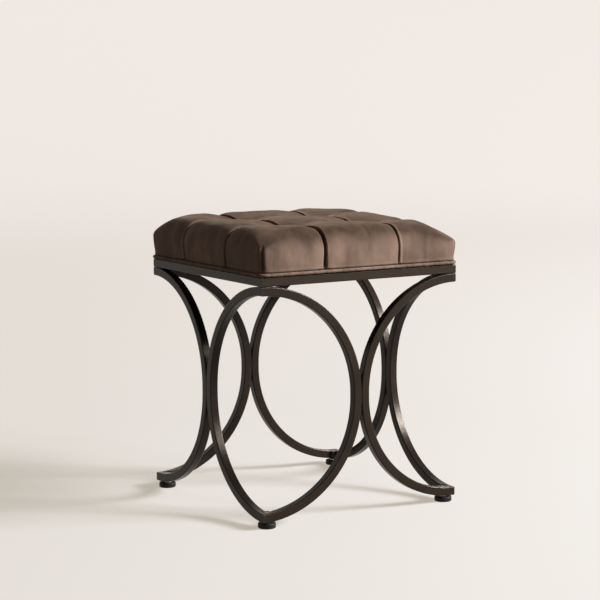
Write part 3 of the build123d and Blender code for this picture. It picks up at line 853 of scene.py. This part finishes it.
class STOOL_OT_cushion(bpy.types.Operator):
    """Make the tufted velvet cushion: sewn squares, blown up as cloth, with tucked seams"""

    bl_idname = "stool.cushion"
    bl_label = "Tufted cushion"

    def execute(self, context):
        sizes = context.scene.stool_sizes
        skin = Skin(sizes)
        fabric = velvet("taupe_velvet", context.scene.stool_colours)
        piece = from_faces("tufted_cushion", skin.points, skin.faces, fabric)
        set_points(piece.data, skin.started(normals_of(piece.data)))
        fill_with_cloth(piece, skin.pins(), sizes.swell)
        self.sew(piece, skin)
        self.smooth(piece, skin)
        self.close_underside(piece)
        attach(piece, ROOT_BODY)
        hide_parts("seat_cover", "wadding", "foam_block", "tuft_ties")
        return {"FINISHED"}

    def sew(self, piece, skin):
        """Press in the stitched lines, add a tuck along one side of each and ripple the velvet; write the
        painted crease shade, and the painted shade of the nap with painted highlights along the tucks.
        """
        sizes = skin.sizes
        points = points_of(piece.data)
        way = normals_of(piece.data)
        height = skin.points[:, 2]
        shift, pressed, lip = np.zeros((3, len(points)))
        low = clamp((skin.crest - height) / (skin.crest - skin.bottom))
        for axis in (0, 1):
            side, gather = skin.past_seam(axis), skin.gather(axis)
            firm = gather + 0.4 * (1.0 - gather) * clamp(way[:, 2])
            width = STITCH + STITCH_FIRM * firm - STITCH_CROSS * axis + STITCH_FOOT * gather * low
            line = ridge(side, width)
            beside = side - TUCK_AT * width
            shift -= sizes.crease * (0.3 + 0.7 * firm) * line
            shift += sizes.fold * (0.6 + 0.5 * gather * low) * ridge(beside, TUCK)
            for place, rise, spread in FOOT_FOLDS:
                shift += rise * gather * low * ridge(side - place, spread)
            # Painted shade in each stitched line
            pressed = np.maximum(pressed, (0.25 + 0.55 * firm - 0.3 * axis * way[:, 2]) * line)
            # Painted highlight along the ridge of each tuck, strongest beside loosely gathered seams
            lip = np.maximum(lip, (1.4 - gather) * ridge(beside, TUCK_LIP))
        below = clamp((skin.bottom + sizes.corner_top - height) / CORNER_FADE)
        at_corner = ridge(skin.corner, CORNER_STITCH) * below
        shift -= sizes.corner_seam * at_corner
        # Painted shade along each corner seam
        pressed = np.maximum(pressed, 0.9 * at_corner)
        loose = clamp(skin.near_seam() / RIPPLE_CLEAR)
        ripples = sum(share * ripple(points, wave, seed) for wave, share, seed in RIPPLES)
        shift += sizes.pucker * loose * ripples
        shift[skin.foot] = 0.0
        set_points(piece.data, points + way * shift[:, None])
        write_marks(piece.data, "POINT", "pressed", pressed)
        # Painted shade of the nap, lightened by painted highlights along the tucks
        write_marks(piece.data, "POINT", "lay", self.painted_nap_shade(points, way) - 0.8 * lip)

    def painted_nap_shade(self, points, way):
        """Painted shade of the nap, from 0 to 1: at the front shoulders, on the crown and on the right."""
        lean = way @ np.array(PAINTED_SHADE_WAY) + PAINTED_SHADE_UNEVEN * ripple(points, PAINTED_SHADE_WAVE, PAINTED_SHADE_SEED)
        front = clamp((lean - 0.56) / 0.44) ** 1.25
        crown = 0.7 * clamp((way[:, 2] - 0.75) / 0.2)
        right = 0.6 * clamp((way[:, 0] - 0.15) / 0.6)
        return np.maximum(np.maximum(front, crown), right)

    def smooth(self, piece, skin):
        """One subdivision that keeps the stitched lines crisp."""
        on_seam = skin.near_seam() < ON_SEAM
        ends = np.empty(2 * len(piece.data.edges), np.int32)
        piece.data.edges.foreach_get("vertices", ends)
        stitched = on_seam[ends.reshape(-1, 2)].all(1)
        write_marks(piece.data, "EDGE", "crease_edge", np.where(stitched, STITCH_CREASE, 0.0))
        subdivide(piece)

    def close_underside(self, piece):
        """Turn the foot of the sides in over the welt, up the board's edge and across the board."""
        form = bmesh.new()
        form.from_mesh(piece.data)
        rim = [e for e in form.edges if e.is_boundary]
        turned = (BOARD_HIGH.x + FOOT_TURN, None), (BOARD_HIGH.x + SOFT_GAP, NUT_HIGH.z + SOFT_GAP)
        for half, height in turned:
            made = bmesh.ops.extrude_edge_only(form, edges=rim)["geom"]
            for vertex in corners_in(made):
                grow = half / max(abs(vertex.co.x), abs(vertex.co.y))
                vertex.co.x *= grow
                vertex.co.y *= grow
                if height is not None:
                    vertex.co.z = height
            rim = [g for g in made if isinstance(g, bmesh.types.BMEdge) and g.is_boundary]
        bmesh.ops.edgeloop_fill(form, edges=rim)
        bmesh.ops.recalc_face_normals(form, faces=form.faces)
        for face in form.faces:
            face.smooth = True
        form.to_mesh(piece.data)
        form.free()


class STOOL_OT_hem(bpy.types.Operator):
    """Make the hem: the cover's edge carried down the board and turned under it"""

    bl_idname = "stool.hem"
    bl_label = "Cover hem"

    def execute(self, context):
        sizes = context.scene.stool_sizes
        fabric = velvet("taupe_velvet_hem", context.scene.stool_colours)
        outer = BOARD_HIGH.x + HEM_CLEAR
        inner = BOARD_HIGH.x - HEM_WIDTH
        base = SEAT_LOW.z + HEM_LIFT
        form = bmesh.new()
        loops = [self.ring(form, outer, base, HEM_CORNER), self.ring(form, inner, base, 0.0)]
        loops += [self.hole(form, x, y, base) for x, y in BOLT_PLACES]
        bmesh.ops.triangle_fill(form, edges=[e for loop in loops for e in loop], use_beauty=True)
        for vertex in corners_in(bmesh.ops.extrude_edge_only(form, edges=loops[0])["geom"]):
            vertex.co.z = WELT_HIGH.z
        bmesh.ops.recalc_face_normals(form, faces=form.faces)
        piece = from_form("cover_hem", form, fabric, smooth=False)
        thicken(piece, sizes.cloth)
        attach(piece, ROOT_BODY)
        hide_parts("seat_cover")
        return {"FINISHED"}

    def ring(self, form, half, height, radius):
        """Edges of a square, with round corners if a radius is given."""
        steps = [i / HEM_CORNER_STEPS for i in range(HEM_CORNER_STEPS + 1)] if radius else [0.5]
        places = []
        for turn in range(4):
            middle = QUARTER * (turn + 0.5)
            cx = math.copysign(half - radius, math.cos(middle))
            cy = math.copysign(half - radius, math.sin(middle))
            for step in steps:
                angle = QUARTER * (turn + step)
                places.append((cx + radius * math.cos(angle), cy + radius * math.sin(angle), height))
        return self.loop(form, places)

    def hole(self, form, x, y, height):
        """Edges of a bolt hole."""
        r = BOLT_HOLE_RADIUS
        turns = [2 * math.pi * i / BOLT_HOLE_STEPS for i in range(BOLT_HOLE_STEPS)]
        return self.loop(form, [(x + r * math.cos(t), y + r * math.sin(t), height) for t in turns])

    def loop(self, form, places):
        """A closed run of edges from place to place."""
        vertices = [form.verts.new(p) for p in places]
        return [form.edges.new((a, b)) for a, b in zip(vertices, vertices[1:] + vertices[:1])]


class STOOL_OT_welt(bpy.types.Operator):
    """Make the welt: a cord covered in velvet round the foot of the cushion"""

    bl_idname = "stool.welt"
    bl_label = "Welt"

    def execute(self, context):
        sizes = context.scene.stool_sizes
        fabric = velvet("taupe_velvet_piping", context.scene.stool_colours)
        radius = (WELT_HIGH.z - WELT_LOW.z) / 2
        middle = (WELT_HIGH.z + WELT_LOW.z) / 2
        line = self.path(WELT_HIGH.x - radius, sizes.corner - radius)
        turns = [2 * math.pi * a / WELT_SIDES for a in range(WELT_SIDES)]
        vertices, pressed = [], []
        walked = 0.0
        for k, (x, y, nx, ny) in enumerate(line):
            walked += math.dist((x, y), line[k - 1][:2]) if k else 0.0
            for angle in turns:
                wrap = sum(
                    share * math.sin(walked * 2 * math.pi / length + twist * angle)
                    for length, share, twist in WELT_WRAPS
                )
                reach = radius - 2 * sizes.welt_pucker + sizes.welt_pucker * wrap
                out, up = reach * math.cos(angle), reach * math.sin(angle)
                vertices.append((x + nx * out, y + ny * out, middle + up))
                # Painted shade on the welt: a little all over, more in the hollows of its ripples, most along
                # its stitched side
                stitched = max(0.0, math.cos(angle - WELT_STITCHED_AT)) ** 3
                pressed.append(0.12 + 0.25 * max(0.0, -wrap) + 0.7 * stitched)
        faces = band_faces(len(line), WELT_SIDES, closed=True)
        piece = from_faces("seat_welt", vertices, faces, fabric)
        write_marks(piece.data, "POINT", "pressed", clamp(pressed))
        subdivide(piece)
        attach(piece, ROOT_BODY)
        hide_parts("welt_cord")
        return {"FINISHED"}

    def path(self, half, corner):
        """Points round the seat with their way out: even along the sides, close together at the corners."""
        straight = half - corner
        places = []
        for turn in range(4):
            angle = QUARTER * turn
            along, out = (-math.sin(angle), math.cos(angle)), (math.cos(angle), math.sin(angle))
            for i in range(WELT_STEPS):
                s = -straight + 2 * straight * i / WELT_STEPS
                places.append((out[0] * half + along[0] * s, out[1] * half + along[1] * s, *out))
            for i in range(WELT_BEND_STEPS):
                bend = angle + QUARTER * i / WELT_BEND_STEPS
                way = (math.cos(bend), math.sin(bend))
                cx = straight * (out[0] + along[0])
                cy = straight * (out[1] + along[1])
                places.append((cx + corner * way[0], cy + corner * way[1], *way))
        return places


class STOOL_OT_dust_cover(bpy.types.Operator):
    """Make the dust cover: black cloth stapled under the seat, hanging a little between its staples"""

    bl_idname = "stool.dust_cover"
    bl_label = "Dust cover"

    def execute(self, context):
        sizes = context.scene.stool_sizes
        half = DUST_HIGH.x
        level = (DUST_LOW.z + DUST_HIGH.z) / 2
        form = bmesh.new()
        bmesh.ops.create_grid(form, x_segments=DUST_GRID, y_segments=DUST_GRID, size=half)
        for place in BOLT_PLACES:
            spot = Vector((*place, 0.0))
            cut = [f for f in form.faces if (f.calc_center_median() - spot).length < 2 * BOLT_HOLE_RADIUS]
            bmesh.ops.delete(form, geom=cut, context="FACES")
        inner = half - STAPLED_EDGE
        for vertex in form.verts:
            x, y = vertex.co.x, vertex.co.y
            hang = max(0.0, 1 - (x / inner) ** 2) * max(0.0, 1 - (y / inner) ** 2)
            pull = DUST_PULL * math.sin(x * 62.0 + 1.0) * math.sin(y * 55.0)
            vertex.co.z = level - sizes.dust_sag * (hang + pull * hang)
        piece = from_form("dust_sheet", form, dust_cloth("black_dust_cloth", context.scene.stool_colours))
        thicken(piece, sizes.cloth)
        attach(piece, ROOT_BODY)
        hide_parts("dust_cover")
        return {"FINISHED"}


class STOOL_OT_studio(bpy.types.Operator):
    """Set up the pale floor, the soft light and the camera"""

    bl_idname = "stool.studio"
    bl_label = "Studio"

    def execute(self, context):
        scene = context.scene
        scene.view_settings.view_transform = "Standard"
        self.lay_floor(scene)
        self.hang_lights(scene)
        self.set_camera(scene)
        return {"FINISHED"}

    def lay_floor(self, scene):
        """A round floor that sweeps up into a backdrop on every side."""
        flat = FLOOR_RINGS[-1]
        rings = [(radius, 0.0) for radius in FLOOR_RINGS]
        for i in range(1, SWEEP_STEPS + 1):
            bend = QUARTER * i / SWEEP_STEPS
            rings.append((flat + SWEEP_RADIUS * math.sin(bend), SWEEP_RADIUS - SWEEP_RADIUS * math.cos(bend)))
        rings += [(BACKDROP_REACH, height) for height in BACKDROP_HEIGHTS]
        turns = [2 * math.pi * a / FLOOR_SIDES for a in range(FLOOR_SIDES)]
        vertices = [(0.0, 0.0, 0.0)]
        vertices += [(r * math.cos(t), r * math.sin(t), height) for r, height in rings for t in turns]
        faces = [(0, 1 + a, 1 + (a + 1) % FLOOR_SIDES) for a in range(FLOOR_SIDES)]
        faces += band_faces(len(rings), FLOOR_SIDES, first=1)
        pale = plain_floor("pale_floor", scene.stool_colours, scene.stool_studio)
        floor = from_faces("studio_floor", vertices, faces, pale)
        floor.visible_diffuse = False

    def hang_lights(self, scene):
        """A broad low key from the right, a narrow strip in front of it and an even room."""
        studio, colours = scene.stool_studio, scene.stool_colours
        room = bpy.data.worlds.new("soft_room")
        room.use_nodes = True
        shade = room.node_tree.nodes["Background"]
        shade.inputs["Color"].default_value = (*colours.ambient, 1.0)
        shade.inputs["Strength"].default_value = studio.ambient_power
        scene.world = room
        tint = tuple(colours.daylight)
        self.hang(scene, "key_light", KEY_PLACE, KEY_SIDES, studio.key_power, tint)
        self.hang(scene, "strip_light", STRIP_PLACE, STRIP_SIDES, studio.strip_power, tint)

    def hang(self, scene, name, place, sides, power, colour):
        """One soft light, turned to the middle of the stool."""
        lamp = bpy.data.lights.new(name, "AREA")
        lamp.shape = "RECTANGLE"
        lamp.size, lamp.size_y = sides
        lamp.energy = power
        lamp.color = colour
        light = bpy.data.objects.new(name, lamp)
        light.location = place
        light.visible_camera = False
        towards = Vector(LIGHT_AIM) - Vector(place)
        light.rotation_euler = towards.to_track_quat("-Z", "Y").to_euler()
        scene.collection.objects.link(light)

    def set_camera(self, scene):
        """The camera, at the photograph's viewing angle."""
        studio = scene.stool_studio
        a, e, r = studio.azimuth, studio.elevation, studio.roll
        back = Vector((math.sin(a) * math.cos(e), -math.cos(a) * math.cos(e), math.sin(e)))
        right = Vector((math.cos(a), math.sin(a), 0.0))
        up = back.cross(right)
        level, plumb = right * math.cos(r) + up * math.sin(r), up * math.cos(r) - right * math.sin(r)
        place = Vector((0.0, 0.0, studio.aim_height)) + right * studio.aim_side + back * studio.distance
        lens = bpy.data.cameras.new("studio_camera")
        lens.sensor_width = SENSOR_WIDTH
        lens.lens = studio.lens
        lens.clip_end = 100.0
        camera = bpy.data.objects.new("studio_camera", lens)
        turn = Matrix((level, plumb, back)).transposed().to_4x4()
        camera.matrix_world = Matrix.Translation(place) @ turn
        scene.collection.objects.link(camera)
        scene.camera = camera


class STOOL_PT_dressing(bpy.types.Panel):
    """Lists the pieces of the stool in the order they are made"""

    bl_idname = "STOOL_PT_dressing"
    bl_label = "Stool"
    bl_space_type = "VIEW_3D"
    bl_region_type = "UI"
    bl_category = "Stool"

    def draw(self, context):
        for step in STEPS:
            self.layout.operator(step.bl_idname)
        for group in (context.scene.stool_sizes, context.scene.stool_colours, context.scene.stool_studio):
            box = self.layout.box()
            for name in group.__annotations__:
                box.prop(group, name)


STEPS = (
    STOOL_OT_studio,
    STOOL_OT_frame,
    STOOL_OT_feet,
    STOOL_OT_fastenings,
    STOOL_OT_cushion,
    STOOL_OT_hem,
    STOOL_OT_welt,
    STOOL_OT_dust_cover,
)
GROUPS = {"stool_sizes": StoolSizes, "stool_colours": StoolColours, "stool_studio": StudioSettings}


def register():
    for name, group in GROUPS.items():
        bpy.utils.register_class(group)
        setattr(bpy.types.Scene, name, bpy.props.PointerProperty(type=group))
    for step in (*STEPS, STOOL_PT_dressing):
        bpy.utils.register_class(step)


def unregister():
    for step in (STOOL_PT_dressing, *reversed(STEPS)):
        bpy.utils.unregister_class(step)
    for name, group in reversed(GROUPS.items()):
        delattr(bpy.types.Scene, name)
        bpy.utils.unregister_class(group)


def main():
    register()
    for step in STEPS:
        group, action = step.bl_idname.split(".")
        getattr(getattr(bpy.ops, group), action)()


if __name__ == "__main__":
    main()
